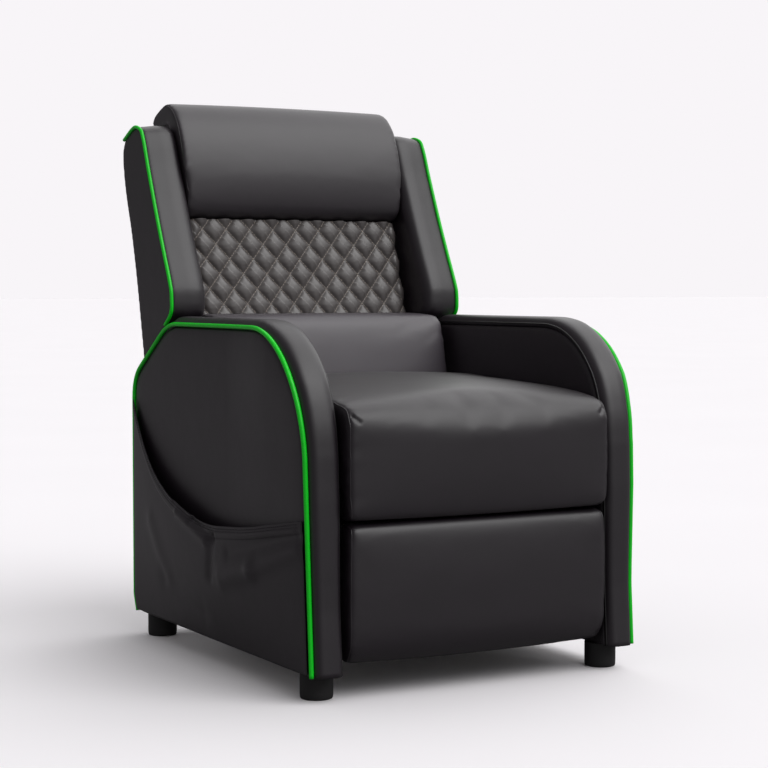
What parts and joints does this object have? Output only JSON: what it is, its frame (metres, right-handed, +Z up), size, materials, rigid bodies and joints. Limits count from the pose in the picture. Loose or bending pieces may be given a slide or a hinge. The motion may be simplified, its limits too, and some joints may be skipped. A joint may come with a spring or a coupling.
{
  "type": "push-back recliner chair",
  "caption": "Upholstered push-back recliner armchair with padded wings, headrest roll, quilted back panel, side pocket and a fold-out footrest on a steel link mechanism.",
  "frame": {"origin": "on the floor, under the middle of the chair's bounding box", "axes": "+Z up; the chair faces -Y; +X is to the right of someone who looks at its front (the sitter's left)"},
  "size_m": [0.6608, 0.881, 1.0253],
  "materials": {
    "black_leather": "fine-grained matt black PU leather",
    "quilted_leather": "satin grey-brown PU leather, diamond quilted",
    "green_piping": "satin green PU piping",
    "black_lining": "black dust cloth",
    "plywood": "raw plywood",
    "black_steel": "black e-coated steel",
    "spring_steel": "oiled spring steel",
    "black_plastic": "satin moulded plastic"
  },
  "bodies": {
    "base": {"arm_board_left": "plywood", "arm_board_right": "plywood", "arm_outer_cover_left": "black_leather", "arm_outer_cover_right": "black_leather", "arm_inner_cover_left": "black_leather", "arm_inner_cover_right": "black_leather", "arm_top_cover_left": "black_leather", "arm_top_cover_right": "black_leather", "arm_piping_left": "green_piping", "arm_piping_right": "green_piping", "side_pocket": "black_leather", "foot_front_left": "black_plastic", "foot_front_right": "black_plastic", "foot_rear_left": "black_plastic", "foot_rear_right": "black_plastic", "base_front_rail": "plywood", "base_rear_rail": "plywood", "rear_panel": "black_lining", "base_plate_left": "black_steel", "base_plate_right": "black_steel"},
    "swing_front": {"swing_link_front_left": "black_steel", "swing_link_front_right": "black_steel"},
    "swing_rear": {"swing_link_rear_left": "black_steel", "swing_link_rear_right": "black_steel"},
    "seat": {"seat_plate_left": "black_steel", "seat_plate_right": "black_steel", "seat_front_rail": "plywood", "seat_rear_rail": "plywood", "seat_side_rail_left": "plywood", "seat_side_rail_right": "plywood", "seat_springs": "spring_steel", "seat_cushion": "black_leather"},
    "footrest_rear_links": {"footrest_rear_link_left": "black_steel", "footrest_rear_link_right": "black_steel", "footrest_torque_tube": "black_steel"},
    "footrest_front_links": {"footrest_front_link_left": "black_steel", "footrest_front_link_right": "black_steel"},
    "footrest_control_links": {"footrest_control_link_left": "black_steel", "footrest_control_link_right": "black_steel"},
    "footrest_guide_links": {"footrest_guide_link_left": "black_steel", "footrest_guide_link_right": "black_steel"},
    "footrest": {"footrest_bracket_left": "black_steel", "footrest_bracket_right": "black_steel", "footrest_board": "plywood", "footrest_cushion": "black_leather"},
    "back": {"back_post_left": "plywood", "back_post_right": "plywood", "back_top_rail": "plywood", "back_lower_rail": "plywood", "back_cover": "black_leather", "back_bracket_left": "black_steel", "back_bracket_right": "black_steel", "wing_left": "black_leather", "wing_right": "black_leather", "wing_piping_left": "green_piping", "wing_piping_right": "green_piping", "headrest": "black_leather", "quilted_panel": "quilted_leather", "lumbar_cushion": "black_leather"}
  },
  "joints": [
    {"name": "swing_rear", "type": "hinge", "parent": "base", "child": "swing_rear", "pos_m": [0.0124, 0.12552, 0.13], "axis": [1, 0, 0], "range_deg": [0, 30]},
    {"name": "seat_carry", "type": "hinge", "parent": "swing_rear", "child": "seat", "pos_m": [0.0124, 0.1514, 0.22659], "axis": [-1, 0, 0], "range_deg": [0, 30]},
    {"name": "swing_front", "type": "hinge", "parent": "base", "child": "swing_front", "pos_m": [0.0124, -0.14448, 0.13], "axis": [1, 0, 0], "range_deg": [0, 30]},
    {"name": "back_recline", "type": "hinge", "parent": "seat", "child": "back", "pos_m": [0.0124, 0.23552, 0.33], "axis": [-1, 0, 0], "range_deg": [0, 43]},
    {"name": "footrest_open", "type": "hinge", "parent": "seat", "child": "footrest_rear_links", "pos_m": [0.0124, -0.25648, 0.252], "axis": [-1, 0, 0], "range_deg": [0, 96]},
    {"name": "footrest_knee", "type": "hinge", "parent": "footrest_rear_links", "child": "footrest_front_links", "pos_m": [0.0124, -0.25648, 0.084], "axis": [1, 0, 0], "range_deg": [0, 138]},
    {"name": "footrest_tilt", "type": "hinge", "parent": "footrest_front_links", "child": "footrest", "pos_m": [0.0124, -0.34248, 0.23], "axis": [-1, 0, 0], "range_deg": [0, 127]},
    {"name": "footrest_control", "type": "hinge", "parent": "seat", "child": "footrest_control_links", "pos_m": [0.0124, -0.30188, 0.2058], "axis": [-1, 0, 0], "range_deg": [0, 108.8]},
    {"name": "footrest_guide", "type": "hinge", "parent": "footrest_rear_links", "child": "footrest_guide_links", "pos_m": [0.0124, -0.21648, 0.1215], "axis": [1, 0, 0], "range_deg": [0, 140.9]}
  ],
  "couplings": [
    {"joint": "swing_rear", "follows": "back_recline", "ratio": 0.6976},
    {"joint": "seat_carry", "follows": "back_recline", "ratio": 0.6976},
    {"joint": "swing_front", "follows": "back_recline", "ratio": 0.6976},
    {"joint": "footrest_knee", "follows": "footrest_open", "ratio": 1.4375},
    {"joint": "footrest_tilt", "follows": "footrest_open", "ratio": 1.3229},
    {"joint": "footrest_control", "follows": "footrest_open", "ratio": 1.1333},
    {"joint": "footrest_guide", "follows": "footrest_open", "ratio": 1.4677}
  ]
}
